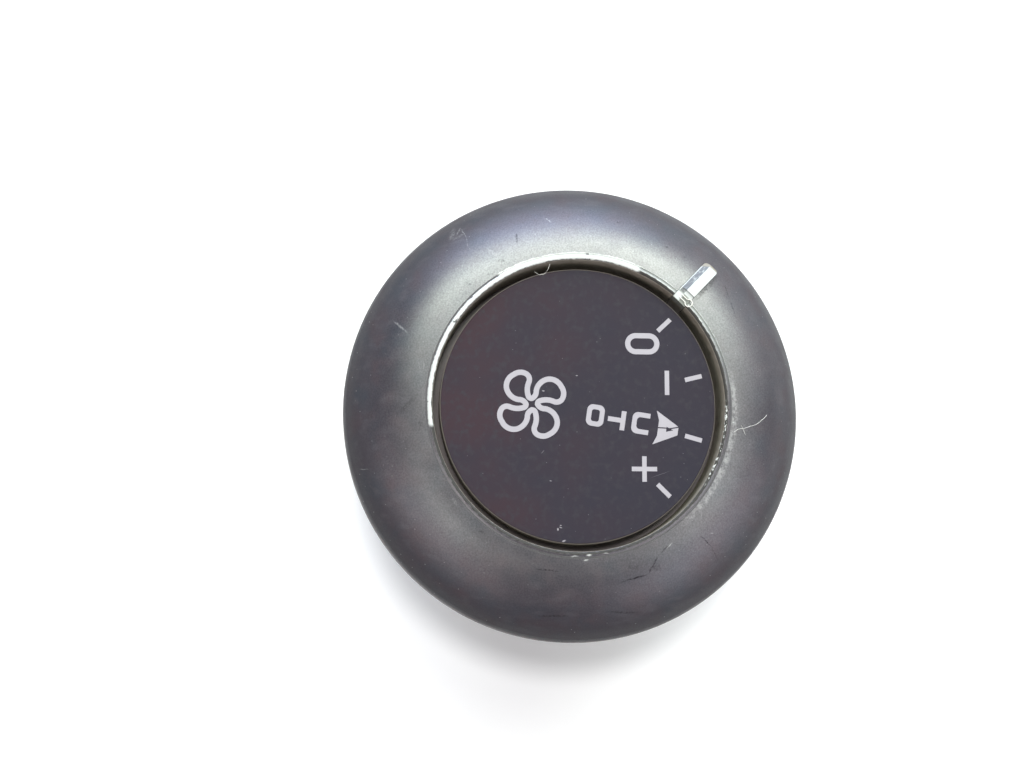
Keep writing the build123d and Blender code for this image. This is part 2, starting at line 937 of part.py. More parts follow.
def make_board_parts():
    """The control chip and its resistors, on the back of the board."""
    parts = Pos(0, -part_row_y) * slab(
        Rectangle(chip_length, chip_width), board_bottom - chip_height, board_bottom
    )
    for place in range(resistor_count):
        x = (place - (resistor_count - 1) / 2) * resistor_pitch
        parts += Pos(x, part_row_y) * slab(
            Rectangle(resistor_width, resistor_length), board_bottom - resistor_height, board_bottom
        )
    return parts


def screw(radius, grip, head_radius, head_height):
    """A cross-recess screw whose head's underside is at height 0, pointing up."""
    head = disc(head_radius, -head_height, 0)
    head = fillet(head.edges().group_by(Axis.Z)[0], screw_head_round)
    recess_length = 2 * head_radius * screw_recess_share
    cross = Rectangle(recess_length, screw_recess_width) + Rectangle(
        screw_recess_width, recess_length
    )
    return head + disc(radius, 0, grip) - slab(cross, -head_height, -head_height / 3)


def make_case_screws():
    screws = Part()
    one = screw(
        case_screw_radius,
        ledge_thickness + case_screw_grip,
        case_screw_head_radius,
        case_screw_head_height,
    )
    for angle in boss_places():
        screws += turned(angle, boss_circle, Pos(0, 0, barrel_end - ledge_thickness) * one)
    return screws


def make_post_screws():
    screws = Part()
    one = screw(
        post_screw_radius,
        board_thickness + post_screw_grip,
        post_screw_head_radius,
        post_screw_head_height,
    )
    for x, y in post_screw_places():
        screws += Pos(x, y, board_bottom) * one
    return screws


pieces = {
    "knob_ring": make_knob_ring(),
    "pointer_light_guide": make_pointer_light_guide(),
    "knob_snap_ring": make_knob_snap_ring(),
    "rotor": make_rotor(),
    "wiper_contacts": make_wiper_contacts(),
    "friction_washer": make_friction_washer(),
    "dial_plate": make_dial_plate(),
    "dial_markings": make_dial_markings(),
    "dial_diffuser": make_dial_diffuser(),
    "dial_carrier": make_dial_carrier(),
    "post_screws": make_post_screws(),
    "housing": make_housing(),
    "detent_spring": make_detent_spring(),
    "circuit_board": make_circuit_board(),
    "contact_tracks": make_contact_tracks(),
    "dial_lamps": make_dial_lamps(),
    "board_parts": make_board_parts(),
    "pin_header": make_pin_header(),
    "terminal_pins": make_terminal_pins(),
    "rear_case": make_rear_case(),
    "case_screws": make_case_screws(),
}
for clip_name, clip_angle in clip_angles().items():
    pieces[clip_name] = make_panel_clip(clip_angle)

os.makedirs("parts", exist_ok=True)
for node_name, piece in pieces.items():
    export_step(piece, f"parts/{node_name}.step")
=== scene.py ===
import bpy
import json
from math import atan2, cos, hypot, pi, radians, sin, tan
from mathutils import Matrix, Vector


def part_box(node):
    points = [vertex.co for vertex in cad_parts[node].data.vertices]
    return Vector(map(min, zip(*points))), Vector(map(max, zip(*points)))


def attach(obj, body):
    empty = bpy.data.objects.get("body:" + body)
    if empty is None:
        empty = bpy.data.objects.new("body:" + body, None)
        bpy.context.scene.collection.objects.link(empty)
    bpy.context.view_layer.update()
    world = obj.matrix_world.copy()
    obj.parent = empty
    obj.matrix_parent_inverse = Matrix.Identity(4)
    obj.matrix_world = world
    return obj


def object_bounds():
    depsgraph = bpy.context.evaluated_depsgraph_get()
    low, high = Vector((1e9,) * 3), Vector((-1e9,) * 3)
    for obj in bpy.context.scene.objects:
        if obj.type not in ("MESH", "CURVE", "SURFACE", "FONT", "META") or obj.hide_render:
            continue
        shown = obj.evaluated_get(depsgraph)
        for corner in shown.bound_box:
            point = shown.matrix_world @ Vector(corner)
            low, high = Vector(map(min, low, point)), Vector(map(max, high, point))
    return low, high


# Looks of a panel fan switch: a worn, satin painted ring knob round a dark dial.
# Metres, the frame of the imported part: +Z towards the user, +Y the dial's top, +X its right.
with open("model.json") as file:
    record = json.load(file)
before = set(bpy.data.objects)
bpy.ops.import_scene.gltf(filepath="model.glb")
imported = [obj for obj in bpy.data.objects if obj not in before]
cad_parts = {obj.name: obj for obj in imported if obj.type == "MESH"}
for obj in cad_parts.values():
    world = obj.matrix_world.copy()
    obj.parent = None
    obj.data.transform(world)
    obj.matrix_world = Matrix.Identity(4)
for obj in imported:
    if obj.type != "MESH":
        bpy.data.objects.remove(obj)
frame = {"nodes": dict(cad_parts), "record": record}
cadLow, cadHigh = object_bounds()
mm = 0.001
print("frame loaded:", len(frame["nodes"]), "nodes")


def toLinear(hexColour):
    # an sRGB colour such as #d3d6d3 as linear red, green, blue and alpha
    channels = [int(hexColour[place:place + 2], 16) / 255 for place in (1, 3, 5)]
    return [c / 12.92 if c <= 0.04045 else ((c + 0.055) / 1.055) ** 2.4 for c in channels] + [1.0]


def addNode(tree, kind, settings=None, **inputs):
    # inputs are named as the sockets, with _ for a space, or in<number>; a value may be another node's socket
    node = tree.nodes.new(kind)
    for name, value in (settings or {}).items():
        setattr(node, name, value)
    for name, value in inputs.items():
        isNumber = name.startswith("in") and name[2:].isdigit()
        socket = node.inputs[int(name[2:])] if isNumber else node.inputs[name.replace("_", " ")]
        if isinstance(value, bpy.types.NodeSocket):
            tree.links.new(value, socket)
        else:
            socket.default_value = value
    return node


def newMaterial(name):
    # an empty material with one Principled shader
    material = bpy.data.materials.new(name)
    material.use_nodes = True
    tree = material.node_tree
    tree.nodes.clear()
    shader = addNode(tree, "ShaderNodeBsdfPrincipled")
    addNode(tree, "ShaderNodeOutputMaterial", Surface=shader.outputs["BSDF"])
    return material, tree, shader


# Camera: where the photo was taken from, seen from the dial
view = {
    "frameSize": (1024, 768),
    "dialCentrePixel": (578.51, 405.26),
    "focalLengthPixels": 1680.8,
    "sensorWidth": 36.0,
    "distance": 214.2 * mm,
    "tilt": 9.65,            # degrees that the knob's axis leans away from the camera
    "leanDirection": 59.9,   # where it leans in the picture, degrees from the right
    "clip": (0.01, 50),      # nearest and farthest, metres
}


def makeCamera():
    width, height = view["frameSize"]
    tilt, lean = radians(view["tilt"]), radians(view["leanDirection"])
    knobAxis = Vector((sin(tilt) * cos(lean), sin(tilt) * sin(lean), cos(tilt)))
    pictureRight = Vector((1, 0, 0))
    dialRight = (pictureRight - knobAxis * knobAxis.dot(pictureRight)).normalized()
    turn = Matrix((dialRight.cross(knobAxis), dialRight, knobAxis))
    perPixel = view["distance"] / view["focalLengthPixels"]
    column, row = view["dialCentrePixel"]
    offset = Vector(((column - width / 2) * perPixel, (height / 2 - row) * perPixel, -view["distance"]))
    dialCentre = Vector((0, 0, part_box("dial_plate")[1].z))
    data = bpy.data.cameras.new("photoCamera")
    data.sensor_width = view["sensorWidth"]
    data.lens = view["focalLengthPixels"] / width * view["sensorWidth"]
    data.clip_start, data.clip_end = view["clip"]
    camera = bpy.data.objects.new("photoCamera", data)
    bpy.context.scene.collection.objects.link(camera)
    camera.matrix_world = Matrix.Translation(dialCentre - turn @ offset) @ turn.to_4x4()
    bpy.context.scene.camera = camera


makeCamera()
bpy.context.scene.view_settings.view_transform = "Standard"
print("camera placed")

# Studio: one broad key high over the dial's top, weak lamps round it, bluish light low beyond the top.
# Lamps are (direction from the picture's right, angle from overhead, half angle, brightness, colour).
studio = {
    "floorRadius": 6.0,      # metres
    "floorSides": 64,
    "floorColour": "#f4f4f4",
    "floorRoughness": 0.9,
    "floorGlow": 0.15,       # what camera, mirrors and clear plastic see beside the lit floor
    "airColour": "#d9d9e6",
    "airStrength": 0.05,
    "aim": (0, 0, 8 * mm),
    "lampDistance": 0.6,     # metres
    "mattLamp": "overhead",  # polarised away: it lights colours and the floor, and leaves no mirror image
    "lamps": {
        "overhead": (134, 7.2, 4.2, 74.0, "#ffffff"),
        "key": (78, 33, 22, 2.85, "#f2f8f2"),
        "keyHeart": (75, 46, 12, 1.0, "#f4ffdc"),
        "keyLeft": (121, 46, 14, 3.5, "#f4fff0"),
        "keyRight": (50, 49, 14, 2.8, "#f4fff0"),
        "softRight": (38, 68, 24, 0.8, "#fafcff"),
        "right": (340, 36, 12, 1.8, "#fcfffc"),
        "left": (218, 36, 12, 1.5, "#fefff8"),
        "skyTopRight": (88, 80, 28, 0.95, "#bccdfa"),
        "skyTopLeft": (100, 80, 30, 1.55, "#d0d8fa"),
        "lowLeft": (220, 80, 30, 1.05, "#fff4f8"),
        "lowRight": (320, 80, 30, 0.95, "#faf4ff"),
    },
}


def makeLamp(name, direction, fromOverhead, halfAngle, brightness, colour):
    # the disc fills its half angle as seen from the knob; brightness 1 is that of a lit white sheet
    distance = studio["lampDistance"]
    radius = distance * tan(radians(halfAngle))
    data = bpy.data.lights.new(name, "AREA")
    data.shape, data.size, data.energy = "DISK", 2 * radius, 4 * brightness * pi * radius**2
    data.color = toLinear(colour)[:3]
    lamp = bpy.data.objects.new(name, data)
    bpy.context.scene.collection.objects.link(lamp)
    around, down = radians(direction), radians(fromOverhead)
    away = Vector((-sin(around) * sin(down), cos(around) * sin(down), cos(down)))
    lamp.location = Vector(studio["aim"]) + away * distance
    lamp.rotation_mode = "QUATERNION"
    lamp.rotation_quaternion = away.to_track_quat("Z", "Y")
    lamp.visible_glossy = name != studio["mattLamp"]


def makeStudio():
    # matt white paper under the switch, even and without shine, so that it shows a soft shadow
    world = bpy.data.worlds.new("studioAir")
    world.use_nodes = True
    air = world.node_tree.nodes["Background"]
    air.inputs["Color"].default_value = toLinear(studio["airColour"])
    air.inputs["Strength"].default_value = studio["airStrength"]
    bpy.context.scene.world = world

    sides = studio["floorSides"]
    corners = [(cos(2 * pi * step / sides), sin(2 * pi * step / sides)) for step in range(sides)]
    mesh = bpy.data.meshes.new("floor")
    mesh.from_pydata(
        [(studio["floorRadius"] * x, studio["floorRadius"] * y, cadLow.z) for x, y in corners],
        [], [list(range(sides))],
    )
    floor = bpy.data.objects.new("floor", mesh)
    bpy.context.scene.collection.objects.link(floor)
    material, tree, shader = newMaterial("matt white paper sweep")
    shader.inputs["Base Color"].default_value = toLinear(studio["floorColour"])
    shader.inputs["Roughness"].default_value = studio["floorRoughness"]
    path = addNode(tree, "ShaderNodeLightPath")
    mirror = addNode(
        tree, "ShaderNodeMath", {"operation": "MAXIMUM"},
        in0=path.outputs["Is Camera Ray"], in1=path.outputs["Is Glossy Ray"],
    )
    seen = addNode(
        tree, "ShaderNodeMath", {"operation": "MAXIMUM"},
        in0=mirror.outputs[0], in1=path.outputs["Is Transmission Ray"],
    )
    glow = addNode(
        tree, "ShaderNodeMath", {"operation": "MULTIPLY"}, in0=seen.outputs[0], in1=studio["floorGlow"],
    )
    shader.inputs["Emission Color"].default_value = (1, 1, 1, 1)
    tree.links.new(glow.outputs[0], shader.inputs["Emission Strength"])
    mesh.materials.append(material)
    for name, setup in studio["lamps"].items():
        makeLamp(name, *setup)


makeStudio()
print("studio lit")


def polarPlace(tree):
    # the object's own place, its distance from the turning axis, its turn in degrees from +X, its height
    place = addNode(tree, "ShaderNodeTexCoord").outputs["Object"]
    axes = addNode(tree, "ShaderNodeSeparateXYZ", Vector=place)
    flat = addNode(tree, "ShaderNodeCombineXYZ", X=axes.outputs["X"], Y=axes.outputs["Y"])
    radius = addNode(tree, "ShaderNodeVectorMath", {"operation": "LENGTH"}, in0=flat.outputs[0])
    angle = addNode(
        tree, "ShaderNodeMath", {"operation": "ARCTAN2"}, in0=axes.outputs["Y"], in1=axes.outputs["X"],
    )
    wrapped = addNode(
        tree, "ShaderNodeMath", {"operation": "WRAP"}, in0=angle.outputs[0], in1=2 * pi, in2=0.0,
    )
    turn = addNode(tree, "ShaderNodeMath", {"operation": "MULTIPLY"}, in0=wrapped.outputs[0], in1=180 / pi)
    return {
        "place": place, "across": axes.outputs["Y"], "height": axes.outputs["Z"],
        "radius": radius.outputs["Value"], "turn": turn.outputs[0],
    }


def bandMask(tree, value, low, high, soft):
    # 1 between low and high, fading over soft on both sides of each
    rise = addNode(
        tree, "ShaderNodeMapRange", {"interpolation_type": "SMOOTHSTEP"},
        Value=value, From_Min=low - soft, From_Max=low + soft,
    )
    fall = addNode(
        tree, "ShaderNodeMapRange", {"interpolation_type": "SMOOTHSTEP"},
        Value=value, From_Min=high - soft, From_Max=high + soft, To_Min=1.0, To_Max=0.0,
    )
    return joinMasks(tree, "MULTIPLY", rise.outputs[0], fall.outputs[0])


def joinMasks(tree, operation, *masks):
    # one mask of several, by the same operation from first to last
    joined = masks[0]
    for mask in masks[1:]:
        joined = addNode(tree, "ShaderNodeMath", {"operation": operation}, in0=joined, in1=mask).outputs[0]
    return joined


def noiseMask(tree, place, size, low, high, detail=3.0, stretch=(1, 1, 1)):
    # 0 where the noise is under low, 1 over high; size is that of a patch
    scaled = addNode(tree, "ShaderNodeMapping", {"vector_type": "TEXTURE"}, Vector=place, Scale=stretch)
    noise = addNode(tree, "ShaderNodeTexNoise", Vector=scaled.outputs[0], Scale=1 / size, Detail=detail)
    ramp = addNode(tree, "ShaderNodeMapRange", Value=noise.outputs["Fac"], From_Min=low, From_Max=high)
    return ramp.outputs[0]


def shiftedPlace(tree, place, size, reach):
    # the place moved about by noise, so that what is drawn with it gets a ragged edge
    noise = addNode(tree, "ShaderNodeTexNoise", Vector=place, Scale=1 / size, Detail=3.0)
    middle = addNode(
        tree, "ShaderNodeVectorMath", {"operation": "SUBTRACT"}, in0=noise.outputs["Color"], in1=(0.5,) * 3,
    )
    shift = addNode(
        tree, "ShaderNodeVectorMath", {"operation": "SCALE"}, in0=middle.outputs[0], Scale=2 * reach,
    )
    moved = addNode(tree, "ShaderNodeVectorMath", {"operation": "ADD"}, in0=place, in1=shift.outputs[0])
    return moved.outputs[0]


def marksMask(tree, place, marks):
    # each mark is a long ellipse from start to end, in mm: (start x, start y, end x, end y, width, strength)
    masks = []
    for startX, startY, endX, endY, width, strength in marks:
        length = hypot(endX - startX, endY - startY) + width
        local = addNode(
            tree, "ShaderNodeMapping", {"vector_type": "TEXTURE"}, Vector=place,
            Location=((startX + endX) / 2 * mm, (startY + endY) / 2 * mm, 0),
            Rotation=(0, 0, atan2(endY - startY, endX - startX)),
            Scale=(length / 2 * mm, width / 2 * mm, 1.0),
        )
        away = addNode(tree, "ShaderNodeVectorMath", {"operation": "LENGTH"}, in0=local.outputs[0])
        masks.append(addNode(
            tree, "ShaderNodeMapRange", Value=away.outputs["Value"],
            From_Min=0.5, From_Max=1.1, To_Min=strength, To_Max=0.0,
        ).outputs[0])
    return joinMasks(tree, "MAXIMUM", *masks)


def dustMask(tree, place, spacing, core, edge, strength):
    # a speck in each cell that is spacing wide; core and edge are shares of that width
    cells = addNode(tree, "ShaderNodeTexVoronoi", Vector=place, Scale=1 / spacing)
    return addNode(
        tree, "ShaderNodeMapRange", Value=cells.outputs["Distance"],
        From_Min=core, From_Max=edge, To_Min=strength, To_Max=0.0,
    ).outputs[0]


def addGrain(tree, shader, place, size, depth, strength, detail=2.0):
    # fine unevenness of the surface: how wide and how deep it is, how strong and how detailed
    grain = addNode(tree, "ShaderNodeTexNoise", Vector=place, Scale=1 / size, Detail=detail)
    bump = addNode(tree, "ShaderNodeBump", Strength=strength, Distance=depth, Height=grain.outputs["Fac"])
    tree.links.new(bump.outputs[0], shader.inputs["Normal"])


def addLayers(tree, ground, layers, dataType="RGBA"):
    # lays values over the ground, each where its mask is 1
    first, second, result = {"RGBA": ("in6", "in7", 2), "FLOAT": ("in2", "in3", 0)}[dataType]
    for mask, value in layers:
        sides = {first: ground, second: value}
        mix = addNode(tree, "ShaderNodeMix", {"data_type": dataType}, in0=mask, **sides)
        ground = mix.outputs[result]
    return ground


# Ring knob paint. Places are on the resting knob: radii from its axis, turns in degrees from +X.
knobPaint = {
    "paint": "#38343b",
    "paintWarm": "#3f353b",
    "paintCool": "#34363e",
    "paintSmear": "#464349",
    # painted shade: the ring's paint darkens towards the rim
    "paintAtRim": "#28252a",
    # white where the lip is worn through, also the painted highlight of the lip and the glints of its chips
    "wornWhite": "#d3d6d3",
    "scuffed": "#9b9a9a",
    # dark marks, and the painted shadow beside the pointer
    "darkened": "#1f1b20",
    "bead": "#3a3836",
    # painted sheen: the bead lightened at the upper right, where the ring near the lip shines
    "beadPale": "#989b97",
    # painted light: the groove is paler than the paint, to lift its shade
    "groove": "#5c5a5d",
    # the bore's bare brownish moulding, lightened to lift the shade in the recess: partly painted light
    "boreBrown": "#a39d90",
    "boreDark": "#898375",
    "rimTouch": "#5a4d49",
    "roughness": (0.39, 0.46),        # from clean to clouded
    "ior": 2.0,                       # flakes in the lacquer mirror more than plain lacquer does
    "sheen": (1.0, 0.055),            # near the lip and at the rim, where it is worn dull
    "sheenRadii": (21.2, 28.4),       # mm
    "glitter": (0.75, 1.2),           # how much the flakes vary the sheen
    "dulled": {"dark": 0.12, "bead": 0.15, "bore": 0.15, "wear": 0.5},
    "rubbed": {"pale": 0.6, "bead": 0.55, "bore": 0.6, "wear": 0.35},
    "peel": (0.25 * mm, 0.012 * mm, 0.6, 3.0),
    "raggedEdge": (0.6 * mm, 0.16 * mm),
    # clouding: how wide a patch is, where its noise starts and ends, and its detail
    "warmClouds": (3.0 * mm, 0.45, 0.70, 6.0),
    "coolClouds": (5.0 * mm, 0.48, 0.68, 5.0, (1, 1, -1)),
    "smears": (1.2 * mm, 0.52, 0.80, 4.0, (1, 3, 1)),
    "flakes": (0.20 * mm, 0.30, 0.70),
    "wearGaps": (0.9 * mm, 0.66, 0.70),
    "chipSpots": (0.35 * mm, 0.51, 0.57),
    "greySpots": (0.7 * mm, 0.35, 0.60),
    "sheenPatches": (0.4 * mm, 0.35, 0.75),
    "rimPatches": (1.5 * mm, 0.35, 0.65),
    "boreGrime": (1.2 * mm, 0.40, 0.75, 4.0),
    "markGaps": (0.3 * mm, 0.35, 0.60),
    "dust": (1.1 * mm, 0.04, 0.08, 0.5),   # spacing, core and edge as shares of it, strength
    # rings: inner radius, outer radius and how softly they end, in mm
    "beadRing": (18.72, 19.05, 0.06),
    "grooveRing": (19.32, 19.57, 0.05),
    "boreRing": (0.0, 18.70, 0.03),
    "rimRing": (29.8, 30.8, 0.08),
    "rimHeight": (3.9, 4.4, 0.2),
    "rimShade": (27.0, 31.0),
    "chipHeight": (12.167, 12.617, 0.05),
    # stretches of a ring: first turn, last turn and their fade in degrees, then as for a ring
    "darkBead": (57, 157, 4, 18.55, 19.05, 0.06),
    # where the bead gets its painted sheen
    "paleBeadSheen": (112, 165, 25, 19.05, 19.62, 0.06),
    # the lip worn to white, which also carries its painted highlight
    "narrowWearAndHighlight": (156, 279, 1, 18.78, 19.32, 0.03),
    "wideWearAndHighlight": (156, 212, 0.8, 18.78, 19.65, 0.08),
    "greyLine": (165, 205, 6, 19.28, 19.33, 0.03),
    "chips": (58, 90, 3, 18.45, 18.90, 0.03),
    # painted sheen: the ring beside the lip lightened on the right, in the scuffed grey
    "sheenBesideLip": (45, 100, 8, 19.57, 20.3, 0.25),
    # marks: start and end in x and y, width, all in mm, and strength
    "paleMarks": [
        (-23.6, -15.8, -21.9, -16.3, 0.80, 0.22),
        (-23.8, -14.9, -22.4, -15.6, 0.20, 0.30),
        (-23.4, -14.9, -22.0, -14.3, 0.18, 0.50),
        (-22.0, -14.3, -20.6, -14.2, 0.16, 0.45),
        (-21.8, -16.0, -22.6, -14.6, 0.50, 0.20),
        (-10.8, -23.6, -9.0, -21.8, 0.30, 0.50),
        (-20.0, -11.6, -19.1, -10.5, 0.50, 0.35),
        (-24.6, -4.3, -23.8, -3.2, 0.15, 0.80),
        (-5.3, -20.4, -4.0, -20.2, 0.12, 0.50),
        (-5.3, -19.8, -4.0, -19.8, 0.12, 0.50),
        (8.0, -27.7, 8.1, -26.6, 0.12, 0.50),
        (12.2, -16.0, 12.8, -15.6, 0.45, 0.50),
        (14.4, 13.0, 14.2, 14.3, 0.40, 0.45),
        (13.1, 15.4, 15.3, 15.4, 0.08, 0.50),
        (16.2, 16.8, 16.2, 17.1, 0.20, 0.60),
        (18.1, 11.0, 17.5, 11.6, 0.25, 0.7),
    ],
    "whiteMarks": [
        (19.26, -1.2, 19.19, -0.35, 0.20, 0.8),
        (19.07, 0.77, 19.07, 1.28, 0.22, 0.9),
        (18.86, 2.92, 18.82, 3.55, 0.16, 0.6),
        (19.8, 0.4, 19.65, 1.0, 0.18, 0.7),
        (2.1, 19.65, 2.1, 19.75, 0.25, 0.7),
        (17.9, 11.2, 17.6, 11.5, 0.16, 0.5),
    ],
    "darkMarksAndShadow": [
        (-18.4, -10.5, -18.4, -9.5, 0.40, 0.45),
        (-15.3, -14.7, -15.3, -13.8, 0.40, 0.45),
        (-16.6, -11.7, -16.6, -11.0, 0.30, 0.45),
        (-22.2, -7.9, -20.9, -7.9, 0.40, 0.75),
        (1.3, -22.7, -1.2, -20.4, 0.60, 0.35),
        (2.6, -20.2, 2.8, -20.1, 0.50, 0.60),
        (16.2, -12.7, 16.2, -12.2, 0.35, 0.50),
        (20.8, -5.6, 21.1, -2.7, 0.22, 0.90),
        (26.6, -5.3, 26.6, -1.1, 0.24, 0.90),
        (25.6, -2.5, 25.6, -1.7, 0.14, 0.50),
        (26.1, 3.8, 26.2, 7.8, 0.25, 0.90),
        (22.4, 5.2, 21.4, 8.7, 0.26, 0.95),
        (21.4, 8.7, 19.1, 9.9, 0.26, 0.95),
        (19.1, 9.9, 17.5, 11.5, 0.20, 0.70),
        (20.6, 9.3, 20.6, 10.1, 0.80, 0.40),
        (20.5, 6.3, 20.5, 7.1, 0.70, 0.40),
        (16.6, 15.5, 17.8, 16.9, 0.20, 0.80),
        (17.8, 16.9, 19.6, 18.1, 0.20, 0.80),
        (-16.3, 19.3, -14.1, 19.9, 0.18, 0.60),
        (-14.1, 19.9, -11.6, 20.6, 0.18, 0.60),
        (-24.2, 5.3, -24.2, 5.5, 0.30, 0.60),
        (-20.9, 11.6, -20.9, 11.8, 0.30, 0.60),
        (-19.6, 13.9, -19.6, 14.1, 0.30, 0.60),
        (-16.0, 19.3, -16.0, 19.5, 0.30, 0.60),
        (-14.7, 19.2, -14.7, 19.4, 0.30, 0.60),
        # painted shadow: the dark band along the pointer's clockwise side
        (-13.6, 14.9, -17.1, 18.3, 0.80, 0.60),
    ],
}


def ringMask(tree, value, low, high, soft):
    # a band whose sizes are given in mm
    return bandMask(tree, value, low * mm, high * mm, soft * mm)


def arcMask(tree, at, stretch, *others):
    # a ring between two turns, with the ragged edge of worn paint, where the other masks leave it
    firstTurn, lastTurn, turnSoft, *ring = stretch
    return joinMasks(
        tree, "MULTIPLY", bandMask(tree, at["turn"], firstTurn, lastTurn, turnSoft),
        ringMask(tree, at["raggedRadius"], *ring), *others,
    )


def riseMask(tree, value, low, high, lowest=0.0, highest=1.0):
    # goes softly from lowest to highest between two sizes in mm
    return addNode(
        tree, "ShaderNodeMapRange", {"interpolation_type": "SMOOTHSTEP"}, Value=value,
        From_Min=low * mm, From_Max=high * mm, To_Min=lowest, To_Max=highest,
    ).outputs[0]


def makeKnobMasks(tree, at):
    # where each colour and shine of the ring lies
    paint = knobPaint
    place = at["place"]
    broken = noiseMask(tree, place, *paint["markGaps"])
    moulded = {
        "bead": joinMasks(
            tree, "MAXIMUM", ringMask(tree, at["raggedRadius"], *paint["beadRing"]),
            arcMask(tree, at, paint["darkBead"]),
        ),
        "beadPale": arcMask(tree, at, paint["paleBeadSheen"]),
        "groove": ringMask(tree, at["radius"], *paint["grooveRing"]),
        "bore": ringMask(tree, at["radius"], *paint["boreRing"]),
        "boreGrime": noiseMask(tree, place, *paint["boreGrime"]),
        # painted shade that darkens the paint towards the rim
        "shadedAtRim": riseMask(tree, at["radius"], *paint["rimShade"]),
    }
    clouded = {name: noiseMask(tree, place, *paint[name]) for name in ("warmClouds", "coolClouds", "smears")}
    solidWearAndHighlight = joinMasks(
        tree, "MAXIMUM", arcMask(tree, at, paint["narrowWearAndHighlight"]), arcMask(tree, at, paint["wideWearAndHighlight"]),
    )
    gaps = joinMasks(tree, "MULTIPLY", noiseMask(tree, place, *paint["wearGaps"]), solidWearAndHighlight)
    chips = arcMask(
        tree, at, paint["chips"], noiseMask(tree, place, *paint["chipSpots"]),
        ringMask(tree, at["height"], *paint["chipHeight"]),
    )
    worn = {
        # worn white on the lip and its chips, which also paints in the lip's highlight and the chips' glints
        "wear": joinMasks(
            tree, "MAXIMUM", joinMasks(tree, "SUBTRACT", solidWearAndHighlight, gaps), chips,
            marksMask(tree, at["ragged"], paint["whiteMarks"]),
        ),
        "greyLine": arcMask(tree, at, paint["greyLine"], noiseMask(tree, place, *paint["greySpots"])),
        # painted sheen beside the lip on the right
        "sheenBesideLip": arcMask(tree, at, paint["sheenBesideLip"], noiseMask(tree, place, *paint["sheenPatches"])),
        "rim": joinMasks(
            tree, "MULTIPLY", ringMask(tree, at["radius"], *paint["rimRing"]),
            ringMask(tree, at["height"], *paint["rimHeight"]), noiseMask(tree, place, *paint["rimPatches"]),
        ),
        "pale": joinMasks(tree, "MULTIPLY", marksMask(tree, at["ragged"], paint["paleMarks"]), broken),
        # dark marks, and the painted shadow beside the pointer
        "dark": joinMasks(tree, "MULTIPLY", marksMask(tree, at["ragged"], paint["darkMarksAndShadow"]), broken),
        "dust": dustMask(tree, place, *paint["dust"]),
    }
    return {**moulded, **clouded, **worn}


def makeKnobPaint():
    # Satin metallic lacquer over moulded ABS: dark, with a broad soft sheen that is strongest near the lip,
    # clouded by handling; the lip's bead is rubbed through to white on its upper left, a white that also
    # paints in the lip's highlight
    paint = knobPaint
    material, tree, shader = newMaterial("satin metallic lacquer on moulded ABS")
    at = polarPlace(tree)
    at["ragged"] = shiftedPlace(tree, at["place"], *paint["raggedEdge"])
    flat = addNode(tree, "ShaderNodeVectorMath", {"operation": "MULTIPLY"}, in0=at["ragged"], in1=(1, 1, 0))
    away = addNode(tree, "ShaderNodeVectorMath", {"operation": "LENGTH"}, in0=flat.outputs[0])
    at["raggedRadius"] = away.outputs["Value"]
    masks = makeKnobMasks(tree, at)
    boreColour = addLayers(
        tree, toLinear(paint["boreBrown"]), [(masks["boreGrime"], toLinear(paint["boreDark"]))],
    )
    layers = [
        ("warmClouds", "paintWarm"), ("coolClouds", "paintCool"), ("smears", "paintSmear"),
        ("shadedAtRim", "paintAtRim"), ("dark", "darkened"), ("dust", "scuffed"), ("sheenBesideLip", "scuffed"),
        ("rim", "rimTouch"), ("groove", "groove"), ("beadPale", "beadPale"), ("bead", "bead"),
        ("bore", boreColour), ("pale", "scuffed"), ("wear", "wornWhite"), ("greyLine", "scuffed"),
    ]
    colour = addLayers(tree, toLinear(paint["paint"]), [
        (masks[mask], toLinear(paint[tone]) if isinstance(tone, str) else tone) for mask, tone in layers
    ])
    tree.links.new(colour, shader.inputs["Base Color"])

    sheen = riseMask(tree, at["radius"], *paint["sheenRadii"], *paint["sheen"])
    flakes = noiseMask(tree, at["place"], *paint["flakes"])
    glitterLow, glitterHigh = paint["glitter"]
    glitter = addNode(tree, "ShaderNodeMapRange", Value=flakes, To_Min=glitterLow, To_Max=glitterHigh)
    sheen = joinMasks(tree, "MULTIPLY", sheen, glitter.outputs[0])
    dulled = [(masks[mask], level) for mask, level in paint["dulled"].items()]
    tree.links.new(addLayers(tree, sheen, dulled, "FLOAT"), shader.inputs["Specular IOR Level"])
    shader.inputs["IOR"].default_value = paint["ior"]

    clean, clouded = paint["roughness"]
    rough = addNode(tree, "ShaderNodeMapRange", Value=masks["warmClouds"], To_Min=clean, To_Max=clouded)
    rubbed = [(masks[mask], level) for mask, level in paint["rubbed"].items()]
    tree.links.new(addLayers(tree, rough.outputs[0], rubbed, "FLOAT"), shader.inputs["Roughness"])
    addGrain(tree, shader, at["place"], *paint["peel"])
    return material


